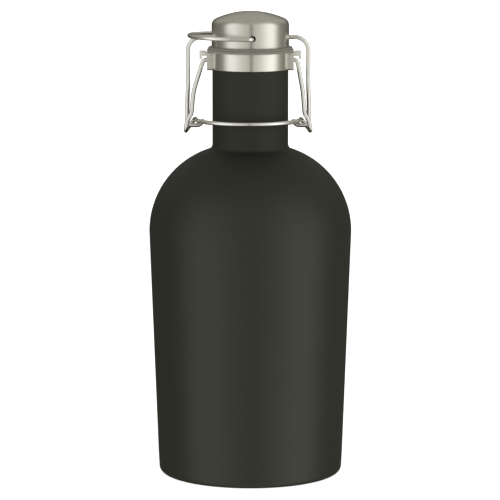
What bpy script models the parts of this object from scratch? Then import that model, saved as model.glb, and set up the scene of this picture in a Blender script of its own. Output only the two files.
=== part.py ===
"""Swing-top growler: a double-wall steel bottle with a wire-bail closure and a wire carry loop.

Units are millimetres in the values below and metres in the model. +Z is up, the thumb bar is
on the -Y side, and the origin is the centre of the base's rest face.
"""
import bpy
import bmesh
from math import atan2, ceil, cos, pi, radians, sin, sqrt, tan
from mathutils import Vector

MM = 0.001
GAP = 0.3                     # left between pieces that touch
TURN_STEPS = 36               # facets round a large turned piece
SMALL_STEPS = 16              # facets round a small turned piece or a hole

# Bottle
BODY_R = 63.4                 # widest, where the shoulder starts
BASE_R = 57.6                 # foot of the tapered wall, before its edge is rounded
SHOULDER_Z = 153.3
SHOULDER_ARC = 54.2
BASE_EDGE = 4.0
NECK_R = 23.7
NECK_FILLET = 3.5
WALL = 0.8
VACUUM_GAP = 2.9
PAN_Z = 5.0                   # height of the base pan's plate above the rest face

# Collar, lugs and mouth
COLLAR_R = 24.7
COLLAR_LOW_Z = 255.0
MOUTH_Z = 265.45              # top of collar, rim and lugs
MOUTH_R = 20.5
LUG_FACE_X = 27.0
LUG_HALF_Y = 8.7
LUG_LOW_Z = 254.6
KEEPER_X = 31.8
KEEPER_STEP_X = 27.5          # outside the gasket the keeper stands a little higher
KEEPER_TOP_Z = 266.2
KEEPER_Y = 3.5
KEEPER_LOW_Z = 262.9
LIP_LOW_Z = 261.0
LIP_WIDTH = 1.6

# Lid
LID_R = 24.15
LID_WALL = 0.8
LID_LOW_Z = 269.1
LID_TOP_Z = 291.1
DOME_ARC = 52.0
DOME_EDGE = 4.5
GASKET_R = 27.1
GASKET_STEP_R = 26.35
GASKET_HOLE_R = 17.6
GASKET_Z = (265.75, 267.4, 268.8)
PLUG_NECK_R = 17.3
PLUG_LIP_R = 18.0
PLUG_NOSE_R = 15.0
PLUG_NOSE_Z = 260.9
PLUG_FLANGE_TOP_Z = 271.6

# Wires
WIRE_R = 1.35
HOLE_R = 1.75
LEVER_PIVOT = (0.0, 260.8)    # y, z of each pivot axis that runs along X
HOOK_PIVOT = (3.7, 221.2)
LID_PIVOT = (0.0, 274.8)
LOOP_PIVOT = (1.2, 275.0)     # x, z of the carry loop's axis, which runs along Y
SLACK_X = -1.4                # play lets the closure hang to one side
ARM_TOP_X = 29.2
ARM_MID = (34.1, 241.0)       # x, z where each arm bends a little steeper
ARM_KNEE = (35.2, 227.4)      # x, z where each arm turns out to pass in front of the bail's leg
ARM_KICK = (38.2, 222.2)      # x, z where it turns down again
ARM_LOW_X = 39.0
EYE_FRONT_Y = -3.2            # front, back and foot of the lever's long eye round the hook
EYE_BACK_Y = 7.9
EYE_LOW_Z = 216.3
EYE_BACK_X = 38.4
EYE_BEND = 3.1
ROOT_X = 32.8                 # where the thumb bar starts, over the hook
ROOT_Z = 223.2
BAR_FRONT_Y = -27.8
BAR_Z = 222.9
BAR_TILT = 0.2                # how much lower the bar starts on the right
LEG_X = 37.5
HOOK_X = 38.0
HOOK_LOW_Z = 219.3
SHOULDER_BEND = 8.5
TAIL_X = 28.6
TAIL_TOP_Z = 223.3
LOOP_Y = 26.0
LOOP_END_X = -37.9
LOOP_RISE = radians(1.2)


# --- Modelling helpers ---------------------------------------------------------------------

def material(name, colour, roughness, metallic):
    made = bpy.data.materials.new(name)
    made.use_nodes = True
    shader = made.node_tree.nodes["Principled BSDF"]
    shader.inputs["Base Color"].default_value = (*colour, 1.0)
    shader.inputs["Roughness"].default_value = roughness
    shader.inputs["Metallic"].default_value = metallic
    return made


def steel(name):
    return material(name, (0.62, 0.60, 0.56), 0.32, 1.0)


def add_object(name, data, finish, parent=None):
    made = bpy.data.objects.new(name, data)
    bpy.context.collection.objects.link(made)
    data.materials.append(finish)
    if parent is not None:
        made.parent = parent
        made.matrix_parent_inverse = parent.matrix_world.inverted()
    return made


def pivot_empty(name, place):
    empty = bpy.data.objects.new(name, None)
    empty.location = Vector(place) * MM
    bpy.context.collection.objects.link(empty)
    bpy.context.view_layer.update()
    return empty


def arc(centre, radius, start, end, steps):
    """Points on an arc in the (r, z) plane, angles in degrees from +r."""
    turn = radians(end - start)
    return [(centre[0] + radius * cos(radians(start) + turn * i / steps),
             centre[1] + radius * sin(radians(start) + turn * i / steps))
            for i in range(steps + 1)]


def turned(name, outline, finish, parent=None, steps=TURN_STEPS):
    """A solid of revolution about Z from a closed (r, z) outline."""
    mesh = bpy.data.meshes.new(name)
    form = bmesh.new()
    corners = [form.verts.new((r * MM, 0.0, z * MM)) for r, z in outline]
    edges = [form.edges.new((corners[i - 1], corners[i])) for i in range(len(corners))]
    bmesh.ops.spin(form, geom=corners + edges, cent=(0, 0, 0), axis=(0, 0, 1),
                   angle=2 * pi, steps=steps, use_merge=True)
    bmesh.ops.remove_doubles(form, verts=form.verts, dist=1e-6)
    bmesh.ops.dissolve_degenerate(form, edges=form.edges, dist=1e-7)
    bmesh.ops.recalc_face_normals(form, faces=form.faces)
    form.to_mesh(mesh)
    form.free()
    mesh.shade_smooth()
    mesh.set_sharp_from_angle(angle=radians(35))
    return add_object(name, mesh, finish, parent)


def block(name, low, high, finish, parent=None):
    mesh = bpy.data.meshes.new(name)
    form = bmesh.new()
    bmesh.ops.create_cube(form, size=1.0)
    size = [(b - a) * MM for a, b in zip(low, high)]
    middle = [(a + b) / 2 * MM for a, b in zip(low, high)]
    bmesh.ops.scale(form, vec=size, verts=form.verts)
    bmesh.ops.translate(form, vec=middle, verts=form.verts)
    form.to_mesh(mesh)
    form.free()
    return add_object(name, mesh, finish, parent)


def rod(name, start, end, radius, finish, parent=None, steps=SMALL_STEPS):
    """A straight round bar between two points."""
    start, end = Vector(start) * MM, Vector(end) * MM
    mesh = bpy.data.meshes.new(name)
    form = bmesh.new()
    bmesh.ops.create_cone(form, cap_ends=True, segments=steps, radius1=radius * MM,
                          radius2=radius * MM, depth=(end - start).length)
    spin = (end - start).to_track_quat("Z", "Y").to_matrix()
    bmesh.ops.rotate(form, cent=(0, 0, 0), matrix=spin, verts=form.verts)
    bmesh.ops.translate(form, vec=(start + end) / 2, verts=form.verts)
    form.to_mesh(mesh)
    form.free()
    return add_object(name, mesh, finish, parent)


def boolean(target, tool, operation):
    """Cut or join with a tool object, which stays hidden."""
    step = target.modifiers.new(tool.name, "BOOLEAN")
    step.operation = operation
    step.solver = "EXACT"
    step.object = tool
    tool.hide_render = True
    tool.display_type = "WIRE"


def rounded_path(corners, radii, step=radians(22)):
    """Straight runs between corners, with each inner corner turned on its bend radius."""
    corners = [Vector(c) for c in corners]
    points = [corners[0]]
    for before, corner, after, radius in zip(corners, corners[1:], corners[2:], radii):
        back = (before - corner).normalized()
        ahead = (after - corner).normalized()
        half = back.angle(ahead) / 2
        centre = corner + (back + ahead).normalized() * (radius / sin(half))
        reach = radius / tan(half)
        first = corner + back * reach - centre
        last = corner + ahead * reach - centre
        turn = pi - 2 * half
        count = max(2, ceil(turn / step))
        for i in range(count + 1):
            part = turn * i / count
            points.append(centre + (first * sin(turn - part) + last * sin(part)) / sin(turn))
    points.append(corners[-1])
    return points


def wire(name, points, finish, parent):
    """A bent round wire along a list of points."""
    curve = bpy.data.curves.new(name, "CURVE")
    curve.dimensions = "3D"
    curve.bevel_depth = WIRE_R * MM
    curve.bevel_resolution = 2
    curve.use_fill_caps = True
    curve.render_resolution_u = 0
    spline = curve.splines.new("POLY")
    spline.points.add(len(points) - 1)
    for place, point in zip(spline.points, points):
        place.co = (*(Vector(point) * MM), 1.0)
    return add_object(name, curve, finish, parent)


# --- Bottle --------------------------------------------------------------------------------

def wall_radius(z):
    """Outer radius of the straight tapered wall at a height."""
    return BASE_R + (BODY_R - BASE_R) * z / SHOULDER_Z


def shell_side(inset, neck_r, low_z, top_z, foot):
    """One side of a bottle wall, from its foot up to its neck, set in from the outer surface."""
    centre_r = BODY_R - SHOULDER_ARC
    radius = SHOULDER_ARC - inset
    fillet = NECK_FILLET + inset
    across = neck_r + fillet - centre_r
    rise = sqrt((radius + fillet) ** 2 - across ** 2)
    meet = atan2(rise, across) * 180 / pi
    side = list(foot)
    side.append((wall_radius(low_z) - inset, low_z))
    side += arc((centre_r, SHOULDER_Z), radius, 0.0, meet, 8)
    side += arc((neck_r + fillet, SHOULDER_Z + rise), fillet, meet + 180, 180, 3)[1:]
    side.append((neck_r, top_z))
    return side


def make_outer_shell(finish):
    edge_r = BASE_R - BASE_EDGE
    foot = arc((edge_r, BASE_EDGE), BASE_EDGE, -90, 0, 3)
    inner_foot = arc((edge_r, BASE_EDGE), BASE_EDGE - WALL, -90, 0, 3)
    outside = shell_side(0.0, NECK_R, 12.0, MOUTH_Z - GAP, foot)
    inside = shell_side(WALL, NECK_R - WALL, 12.0, MOUTH_Z - GAP, inner_foot)
    return turned("outer_shell", outside + inside[::-1], finish)


def make_outer_base(finish):
    """Pressed pan inside the foot, with a dimple that holds the vacuum seal."""
    rim_r = wall_radius(9.0) - WALL - GAP - 0.6
    low = [(0.0, PAN_Z + 3.0), (3.0, PAN_Z + 3.0), (5.0, PAN_Z), (rim_r - 2.0, PAN_Z),
           (rim_r, PAN_Z + 2.0), (rim_r, 16.0)]
    high = [(rim_r - WALL, 16.0), (rim_r - WALL, PAN_Z + 2.4), (rim_r - 2.4, PAN_Z + WALL),
            (5.4, PAN_Z + WALL), (3.4, PAN_Z + 3.0 + WALL), (0.0, PAN_Z + 3.0 + WALL)]
    return turned("outer_base", low + high, finish)


def make_base_cover(finish):
    """Thin disc that covers the dimple and carries the rest face."""
    radius = BASE_R - BASE_EDGE - 2.0
    outline = [(0.0, 0.0), (radius - 1.0, 0.0), (radius, 1.0), (radius, PAN_Z - GAP),
               (radius - 2.0, PAN_Z - GAP), (radius - 2.0, 1.6), (0.0, 1.6)]
    return turned("base_cover", outline, finish)


def make_vacuum_seal(finish):
    top = PAN_Z + 3.0 - GAP
    outline = [(0.0, top - 1.5), (1.4, top - 1.2), (2.1, top - 0.6), (2.3, top), (0.0, top)]
    return turned("vacuum_seal", outline, finish, steps=SMALL_STEPS)


def make_inner_flask(finish):
    """Inner wall with a turned-out rim; its open foot is closed by the inner base."""
    inset = WALL + VACUUM_GAP
    neck_out = MOUTH_R + WALL
    low_z = 30.0
    foot = []
    outside = shell_side(inset, neck_out, low_z, MOUTH_Z - 1.0, foot)
    inside = shell_side(inset + WALL, MOUTH_R, low_z, MOUTH_Z, foot)
    rim_r = NECK_R - WALL - GAP
    return turned("inner_flask", outside + [(rim_r, MOUTH_Z - 1.0), (rim_r, MOUTH_Z)]
                  + inside[::-1], finish)


def make_inner_base(finish):
    """Domed bottom cup of the inner wall, welded into its foot."""
    radius = wall_radius(30.0) - 2 * WALL - VACUUM_GAP - GAP - 0.4
    edge = 8.0
    floor_z = 20.0
    foot = arc((radius - edge, floor_z + edge), edge, -90, 0, 3)
    lining = arc((radius - edge, floor_z + edge), edge - WALL, 0, -90, 3)
    outline = ([(0.0, floor_z + 2.0)] + foot + [(radius, 40.0), (radius - WALL, 40.0)] + lining
               + [(0.0, floor_z + 2.0 + WALL)])
    return turned("inner_base", outline, finish)


def make_getter(finish):
    """Gas-absorbing pellet in its holder, under the inner base."""
    outline = [(0.0, 17.2), (4.6, 17.2), (5.0, 17.6), (5.0, 20.2), (0.0, 20.2)]
    return turned("getter_pellet", outline, finish, steps=SMALL_STEPS)


def make_collar(finish):
    inner = NECK_R + GAP
    outline = [(inner, COLLAR_LOW_Z), (COLLAR_R - 0.3, COLLAR_LOW_Z), (COLLAR_R, COLLAR_LOW_Z + 0.3),
               (COLLAR_R, MOUTH_Z - 0.3), (COLLAR_R - 0.3, MOUTH_Z), (inner, MOUTH_Z)]
    return turned("neck_collar", outline, finish)


def make_lug(side, finish):
    """Lug on the collar: a pad with the lever's pivot hole, and a keeper with a lip over it."""
    word = "left" if side < 0 else "right"
    xs = sorted((side * 22.0, side * LUG_FACE_X))
    lug = block(word + "_pivot_lug", (xs[0], -LUG_HALF_Y, LUG_LOW_Z),
                (xs[1], LUG_HALF_Y, MOUTH_Z), finish)
    soften = lug.modifiers.new("soft_edges", "BEVEL")
    soften.width = 1.0 * MM
    soften.segments = 2
    xs = sorted((side * (LUG_FACE_X - 1.5), side * KEEPER_X))
    keeper = block(word + "_keeper", (xs[0], 0.0, KEEPER_LOW_Z), (xs[1], KEEPER_Y, MOUTH_Z - 0.2),
                   finish)
    xs = sorted((side * KEEPER_STEP_X, side * KEEPER_X))
    step = block(word + "_keeper_step", (xs[0], 0.0, MOUTH_Z - 0.7), (xs[1], KEEPER_Y, KEEPER_TOP_Z),
                 finish)
    xs = sorted((side * (KEEPER_X - LIP_WIDTH), side * KEEPER_X))
    lip = block(word + "_keeper_lip", (xs[0], 0.0, LIP_LOW_Z),
                (xs[1], KEEPER_Y, KEEPER_LOW_Z + 0.5), finish)
    neck = rod(word + "_collar_cut", (0, 0, LUG_LOW_Z - 5), (0, 0, MOUTH_Z + 5),
               COLLAR_R + GAP, finish, steps=TURN_STEPS)
    y, z = LEVER_PIVOT
    hole = rod(word + "_pin_cut", (side * 20.0, y, z), (side * 30.0, y, z), HOLE_R, finish)
    for extra in (keeper, step, lip):
        boolean(lug, extra, "UNION")
    boolean(lug, neck, "DIFFERENCE")
    boolean(lug, hole, "DIFFERENCE")
    return lug


# --- Lid -----------------------------------------------------------------------------------

def dome_side(radius, top_z, low_z, edge):
    """Lid outline from the apex down to the lower edge: dome, rounded corner, straight wall."""
    sphere = DOME_ARC - (LID_R - radius)
    centre_z = top_z - sphere
    corner_r = radius - edge
    lean = atan2(sqrt((sphere - edge) ** 2 - corner_r ** 2), corner_r) * 180 / pi
    corner_z = centre_z + sqrt((sphere - edge) ** 2 - corner_r ** 2)
    side = arc((0.0, centre_z), sphere, 90, lean, 4)
    side += arc((corner_r, corner_z), edge, lean, 0, 3)[1:]
    side.append((radius, low_z))
    return side


def make_lid_cap(finish, parent):
    outside = dome_side(LID_R, LID_TOP_Z, LID_LOW_Z, DOME_EDGE)
    inside = dome_side(LID_R - LID_WALL, LID_TOP_Z - LID_WALL, LID_LOW_Z, DOME_EDGE - LID_WALL)
    cap = turned("lid_cap", outside + inside[::-1], finish, parent)
    y, z = LID_PIVOT
    boolean(cap, rod("bail_hole_cut", (-30, y, z), (30, y, z), HOLE_R + 0.15, finish), "DIFFERENCE")
    x, z = LOOP_PIVOT
    boolean(cap, rod("loop_hole_cut", (x, -30, z), (x, 30, z), HOLE_R + 0.15, finish), "DIFFERENCE")
    return cap


def make_lid_foam(finish, parent):
    inset = LID_WALL + GAP
    radius = LID_R - inset
    low_z = LID_PIVOT[1] + 3.2
    outline = dome_side(radius, LID_TOP_Z - inset, low_z, DOME_EDGE - inset)
    return turned("lid_foam", outline + [(0.0, low_z)], finish, parent, steps=24)


def make_lid_plug(finish, parent):
    """Plastic plug: flange inside the cap, neck through the gasket, retaining lip and nose."""
    flange_r = LID_R - LID_WALL - GAP
    low, _, high = GASKET_Z
    nose_edge = arc((PLUG_NOSE_R - 2.0, PLUG_NOSE_Z + 2.0), 2.0, -70, 0, 3)
    outline = ([(0.0, PLUG_NOSE_Z - 0.5)] + nose_edge
               + [(PLUG_LIP_R, low - GAP - 0.9), (PLUG_LIP_R, low - GAP), (PLUG_NECK_R, low - GAP),
                  (PLUG_NECK_R, high + GAP), (flange_r, high + GAP),
                  (flange_r, PLUG_FLANGE_TOP_Z), (0.0, PLUG_FLANGE_TOP_Z)])
    return turned("lid_plug", outline, finish, parent)


def make_gasket(finish, parent):
    low, step, high = GASKET_Z
    outline = [(GASKET_HOLE_R, low), (GASKET_R - 0.4, low), (GASKET_R, low + 0.4),
               (GASKET_R, step - 0.3), (GASKET_STEP_R, step), (GASKET_STEP_R, high - 0.4),
               (GASKET_STEP_R - 0.4, high), (GASKET_HOLE_R, high)]
    return turned("lid_gasket", outline, finish, parent)


def make_bail_tube(finish, parent):
    """Steel tube across the lid that the bail turns in."""
    y, z = LID_PIVOT
    reach = LID_R - LID_WALL - GAP
    tube = rod("bail_tube", (-reach, y, z), (reach, y, z), 2.6, finish, parent)
    boolean(tube, rod("tube_bore_cut", (-30, y, z), (30, y, z), HOLE_R, finish), "DIFFERENCE")
    return tube


# --- Wires ---------------------------------------------------------------------------------

def lever_points():
    """Pin, arm, long eye round the hook and thumb bar: the left half, then the mirrored right half."""
    pin_y, pin_z = LEVER_PIVOT
    hook_y = HOOK_PIVOT[0]
    halves = []
    for side in (-1, 1):
        root_z = ROOT_Z - (BAR_TILT if side > 0 else 0.0)

        def at(x, y, z):
            return (side * x + SLACK_X, y, z)
        corners = [(side * 25.5, pin_y, pin_z), (side * ARM_TOP_X, pin_y, pin_z),
                   at(ARM_MID[0], EYE_FRONT_Y * 0.6, ARM_MID[1]),
                   at(ARM_KNEE[0], EYE_FRONT_Y, ARM_KNEE[1]), at(ARM_KICK[0], EYE_FRONT_Y, ARM_KICK[1]),
                   at(ARM_LOW_X, EYE_FRONT_Y, EYE_LOW_Z), at(EYE_BACK_X, EYE_BACK_Y, EYE_LOW_Z),
                   at(ROOT_X + 0.4, EYE_BACK_Y, root_z), at(ROOT_X, hook_y, root_z)]
        half = rounded_path(corners, (3.0, 40.0, 8.0, 8.0, EYE_BEND, EYE_BEND, 2.6))
        steps = 10
        for i in range(1, steps + 1):
            swing = pi / 2 * i / steps
            half.append(Vector(at(ROOT_X * cos(swing), hook_y + (BAR_FRONT_Y - hook_y) * sin(swing),
                                  root_z + (BAR_Z - root_z) * sin(swing))))
        halves.append(half)
    return halves[0] + halves[1][-2::-1]


def bail_points():
    """Upturned tail, hook, leg and shoulder: the left half, then the mirrored right half."""
    hook_y = HOOK_PIVOT[0]
    top_y, top_z = LID_PIVOT
    halves = []
    for side in (-1, 1):
        def at(x, y, z):
            return (side * x + SLACK_X, y, z)
        corners = [at(TAIL_X, hook_y, TAIL_TOP_Z), at(TAIL_X, hook_y, HOOK_LOW_Z),
                   at(HOOK_X, hook_y, HOOK_LOW_Z), at(HOOK_X, hook_y, 232.0),
                   at(LEG_X, hook_y * 0.38, 246.0), at(LEG_X, top_y, top_z), (0.0, top_y, top_z)]
        halves.append(rounded_path(corners, (3.6, 3.0, 30.0, 60.0, SHOULDER_BEND)))
    return halves[0][:-1] + halves[1][-2::-1]


def loop_points():
    """U-shaped carry loop, its two ends turned into the lid, raised a little at its outer end."""
    x, z = LOOP_PIVOT
    end_x = -(x - LOOP_END_X)
    centre_x = end_x + LOOP_Y
    flat = rounded_path([(0, -21.4, 0), (0, -LOOP_Y, 0), (centre_x, -LOOP_Y, 0)], (2.6,))
    steps = 14
    for i in range(1, steps):
        turn = pi * i / steps
        flat.append(Vector((centre_x - LOOP_Y * sin(turn), -LOOP_Y * cos(turn), 0)))
    flat += rounded_path([(centre_x, LOOP_Y, 0), (0, LOOP_Y, 0), (0, 21.4, 0)], (2.6,))
    return [Vector((x + p.x * cos(LOOP_RISE), p.y, z - p.x * sin(LOOP_RISE))) for p in flat]


# --- Assembly ------------------------------------------------------------------------------

def build():
    for leftover in list(bpy.data.objects):
        bpy.data.objects.remove(leftover)
    coat = material("charcoal_powder_coat", (0.030, 0.030, 0.026), 0.55, 0.0)
    make_outer_shell(coat)
    make_outer_base(steel("outer_base_steel"))
    make_base_cover(steel("base_cover_steel"))
    make_vacuum_seal(material("seal_solder", (0.45, 0.45, 0.44), 0.5, 1.0))
    make_inner_flask(steel("inner_flask_steel"))
    make_inner_base(steel("inner_base_steel"))
    make_getter(material("getter_alloy", (0.20, 0.20, 0.21), 0.7, 0.5))
    make_collar(steel("collar_steel"))
    make_lug(-1, steel("left_lug_steel"))
    make_lug(1, steel("right_lug_steel"))

    lever = pivot_empty("lever_axis", (0.0, *LEVER_PIVOT))
    bail = pivot_empty("bail_axis", (0.0, *HOOK_PIVOT))
    lid = pivot_empty("lid_axis", (0.0, *LID_PIVOT))
    loop = pivot_empty("loop_axis", (LOOP_PIVOT[0], 0.0, LOOP_PIVOT[1]))
    wire("lever_wire", lever_points(), steel("lever_wire_steel"), lever)
    wire("bail_wire", bail_points(), steel("bail_wire_steel"), bail)
    make_lid_cap(steel("lid_steel"), lid)
    make_lid_foam(material("foam", (0.85, 0.80, 0.62), 0.9, 0.0), lid)
    make_lid_plug(material("plug_plastic", (0.04, 0.04, 0.04), 0.45, 0.0), lid)
    make_gasket(material("grey_silicone", (0.16, 0.155, 0.12), 0.5, 0.0), lid)
    make_bail_tube(steel("bail_tube_steel"), lid)
    wire("carry_loop", loop_points(), steel("carry_loop_steel"), loop)


build()
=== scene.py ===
"""Swing-top growler: the finished look of every piece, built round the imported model.

Lengths are written in millimetres and multiplied by MM. +Z is up and the thumb bar faces -Y.
"""
from math import atan2, ceil, cos, pi, radians, sin, sqrt, tan

import bmesh
import bpy
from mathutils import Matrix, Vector


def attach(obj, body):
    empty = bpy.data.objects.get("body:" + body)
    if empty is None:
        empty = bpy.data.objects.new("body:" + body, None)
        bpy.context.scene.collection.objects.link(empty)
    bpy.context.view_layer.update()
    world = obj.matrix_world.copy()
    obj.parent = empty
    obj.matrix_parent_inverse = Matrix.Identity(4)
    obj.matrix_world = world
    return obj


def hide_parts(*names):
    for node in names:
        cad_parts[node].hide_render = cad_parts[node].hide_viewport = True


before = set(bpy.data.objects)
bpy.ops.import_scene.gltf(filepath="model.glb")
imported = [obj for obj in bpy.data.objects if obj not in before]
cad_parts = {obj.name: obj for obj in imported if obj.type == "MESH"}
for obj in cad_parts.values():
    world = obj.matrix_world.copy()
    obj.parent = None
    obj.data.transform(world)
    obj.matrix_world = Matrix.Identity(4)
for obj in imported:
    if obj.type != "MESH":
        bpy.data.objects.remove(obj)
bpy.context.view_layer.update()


# --- Outer shell ---------------------------------------------------------------------------
# The body, shoulder and neck are one stainless cup, deep drawn and then spun to its taper.
# It is the outer of two walls, sprayed with charcoal powder that bakes to a fine matt grain.

MM = 0.001
GAP = 0.3                     # left between pieces that touch
BODY_R = 63.4                 # widest, where the shoulder starts
BASE_R = 57.6
SHOULDER_Z = 153.3
SHOULDER_ARC = 54.2
BASE_EDGE = 4.0
FOOT_TOP_Z = 12.0             # where the straight wall starts
RING_STEP = 40.0              # between the rings of the straight wall
NECK_R = 23.7
NECK_FILLET = 3.5
WALL = 0.8
MOUTH_Z = 265.45
TURN_STEPS = 168              # facets round a large turned piece
COAT_COLOUR = (0.0038, 0.0040, 0.0026)
COAT_ROUGHNESS = 0.42
COAT_GLOSS = 0.6
COAT_SHEEN = (1.0, 1.01, 0.87)
COAT_GRAIN = 0.45 * MM        # size of the powder's grains
COAT_WAVE = 2.6 * MM          # size of its faint orange-peel waves
COAT_CLOUD = 22.0 * MM        # size of its uneven patches
NECK_DULL = 0.24              # the powder lands thinner and drier towards the neck
NECK_DULL_Z = (150.0, 215.0)  # the coating turns drier between these heights


def arc(centre, radius, start, end, steps):
    """Points on an arc in the (r, z) plane, angles in degrees from +r."""
    turn = radians(end - start)
    return [(centre[0] + radius * cos(radians(start) + turn * i / steps),
             centre[1] + radius * sin(radians(start) + turn * i / steps))
            for i in range(steps + 1)]


def wall_radius(z):
    """Outer radius of the straight tapered wall at a height."""
    return BASE_R + (BODY_R - BASE_R) * z / SHOULDER_Z


def shell_side(inset, neck_r, low_z, top_z, foot):
    """One side of a bottle wall, from its foot up to its neck, set in from the outer surface."""
    centre_r = BODY_R - SHOULDER_ARC
    radius = SHOULDER_ARC - inset
    fillet = NECK_FILLET + inset
    across = neck_r + fillet - centre_r
    rise = sqrt((radius + fillet) ** 2 - across ** 2)
    meet = atan2(rise, across) * 180 / pi
    side = list(foot)
    heights = [low_z + RING_STEP * i for i in range(4)]
    side += [(wall_radius(z) - inset, z) for z in heights if z < SHOULDER_Z - 5.0]
    side += arc((centre_r, SHOULDER_Z), radius, 0.0, meet, 40)
    side += arc((neck_r + fillet, SHOULDER_Z + rise), fillet, meet + 180, 180, 10)[1:]
    side.append((neck_r, top_z))
    return side


def mesh_from(name, corners, faces, sharp=32.0):
    """A shaded mesh from corners in millimetres and its faces."""
    mesh = bpy.data.meshes.new(name)
    mesh.from_pydata([Vector(c) * MM for c in corners], [], faces)
    form = bmesh.new()
    form.from_mesh(mesh)
    bmesh.ops.recalc_face_normals(form, faces=form.faces)
    form.to_mesh(mesh)
    form.free()
    mesh.shade_smooth()
    mesh.set_sharp_from_angle(angle=radians(sharp))
    return mesh


def turned_mesh(name, outline, steps=TURN_STEPS, sharp=32.0):
    """A solid of revolution about Z from a closed (r, z) outline."""
    corners, rings, faces = [], [], []
    for r, z in outline:
        count = 1 if r < 1e-6 else steps
        rings.append([len(corners) + i % count for i in range(steps)])
        corners += [(r * cos(2 * pi * i / steps), r * sin(2 * pi * i / steps), z) for i in range(count)]
    for low, high in zip(rings, rings[1:] + rings[:1]):
        if low[0] == low[1] and high[0] == high[1]:
            continue
        for i in range(steps):
            j = (i + 1) % steps
            face = [low[i], low[j], high[j], high[i]]
            faces.append(list(dict.fromkeys(face)))
    return mesh_from(name, corners, faces, sharp)


def fit(name, mesh, finish, body, slot, *nodes):
    """Put a piece in place: its finish, the body it rides on and the plain solids it stands for."""
    piece = bpy.data.objects.new(name, mesh)
    bpy.context.collection.objects.link(piece)
    if not mesh.materials:
        mesh.materials.append(finish)
    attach(piece, body)
    if nodes:
        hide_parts(*nodes)
    return piece


def new_finish(name, colour, roughness, metallic):
    """A material with its shader; the grain is added by the finish that asks for it."""
    made = bpy.data.materials.new(name)
    made.use_nodes = True
    shader = made.node_tree.nodes["Principled BSDF"]
    shader.inputs["Base Color"].default_value = (*colour, 1.0)
    shader.inputs["Roughness"].default_value = roughness
    shader.inputs["Metallic"].default_value = metallic
    return made, made.node_tree, shader


def add_node(tree, kind, settings=(), **wired):
    """Add a node, set its properties, then fill its inputs with values or links."""
    node = tree.nodes.new(kind)
    for key, value in settings:
        setattr(node, key, value)
    for key, value in wired.items():
        socket = node.inputs[int(key[1:])] if key[0] == "i" and key[1:].isdigit() else node.inputs[key]
        if isinstance(value, bpy.types.NodeSocket):
            tree.links.new(value, socket)
        else:
            socket.default_value = value
    return node


def sums(tree, operation, first, second=0.0, third=0.0):
    """One arithmetic step."""
    node = add_node(tree, "ShaderNodeMath", [("operation", operation)], i0=first, i1=second, i2=third)
    return node.outputs[0]


def place_on_piece(tree):
    """The piece's own coordinates, which stay with it as it moves."""
    return add_node(tree, "ShaderNodeTexCoord").outputs["Object"]


def speckle(tree, at, size, detail=2.0, rough=0.5):
    """Soft random grain from 0 to 1, its features about as large as size."""
    node = add_node(tree, "ShaderNodeTexNoise", Vector=at, Scale=1.0 / size, Detail=detail,
                    Roughness=rough)
    return node.outputs["Fac"]


def between(tree, amount, low, high):
    """Spread a 0 to 1 grain over a range of values."""
    node = add_node(tree, "ShaderNodeMapRange", i0=amount, i1=0.25, i2=0.75, i3=low, i4=high)
    return node.outputs[0]


def shades(tree, amount, dark, light):
    """Spread a 0 to 1 grain between two colours."""
    node = add_node(tree, "ShaderNodeMix", [("data_type", "RGBA")], i0=amount, i6=(*dark, 1.0),
                    i7=(*light, 1.0))
    return node.outputs[2]


def relief(tree, shader, height, depth, strength):
    """Raise or sink the surface by a 0 to 1 height."""
    node = add_node(tree, "ShaderNodeBump", Height=height, Distance=depth, Strength=strength)
    tree.links.new(node.outputs["Normal"], shader.inputs["Normal"])


def darker(colour, share):
    """A colour made darker, or lighter where the share is over 1."""
    return tuple(c * share for c in colour)


def tint(tree, shader, grain, colour, dark, light):
    """Vary the piece's colour with a grain, between two shares of it."""
    tone = shades(tree, between(tree, grain, 0.0, 1.0), darker(colour, dark), darker(colour, light))
    tree.links.new(tone, shader.inputs["Base Color"])


def dull(tree, shader, grain, roughness, less, more):
    """Vary the piece's roughness with a grain."""
    rough = between(tree, grain, roughness - less, roughness + more)
    tree.links.new(rough, shader.inputs["Roughness"])


def powder_coat(name):
    """Baked powder: a fine matt grain with faint waves, drier where the gun reached it less."""
    made, tree, shader = new_finish(name, COAT_COLOUR, COAT_ROUGHNESS, 0.0)
    shader.inputs["Specular IOR Level"].default_value = COAT_GLOSS
    shader.inputs["Specular Tint"].default_value = (*COAT_SHEEN, 1.0)
    at = place_on_piece(tree)
    grain = speckle(tree, at, COAT_GRAIN, 2.0, 0.6)
    wave = speckle(tree, at, COAT_WAVE, 1.0)
    cloud = speckle(tree, at, COAT_CLOUD, 2.0)
    patchy = sums(tree, "MULTIPLY_ADD", grain, 0.5, sums(tree, "MULTIPLY", cloud, 0.5))
    tint(tree, shader, patchy, COAT_COLOUR, 0.86, 1.16)
    height = add_node(tree, "ShaderNodeSeparateXYZ", Vector=at).outputs["Z"]
    dusted = add_node(tree, "ShaderNodeMapRange", i0=height, i1=NECK_DULL_Z[0] * MM, i2=NECK_DULL_Z[1] * MM,
                      i3=0.0, i4=NECK_DULL)
    grainy = between(tree, grain, COAT_ROUGHNESS - 0.04, COAT_ROUGHNESS + 0.05)
    tree.links.new(sums(tree, "ADD", grainy, dusted.outputs[0]), shader.inputs["Roughness"])
    skin = sums(tree, "MULTIPLY_ADD", wave, 0.7, sums(tree, "MULTIPLY", grain, 0.3))
    relief(tree, shader, skin, 0.05 * MM, 0.35)
    return made


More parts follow.
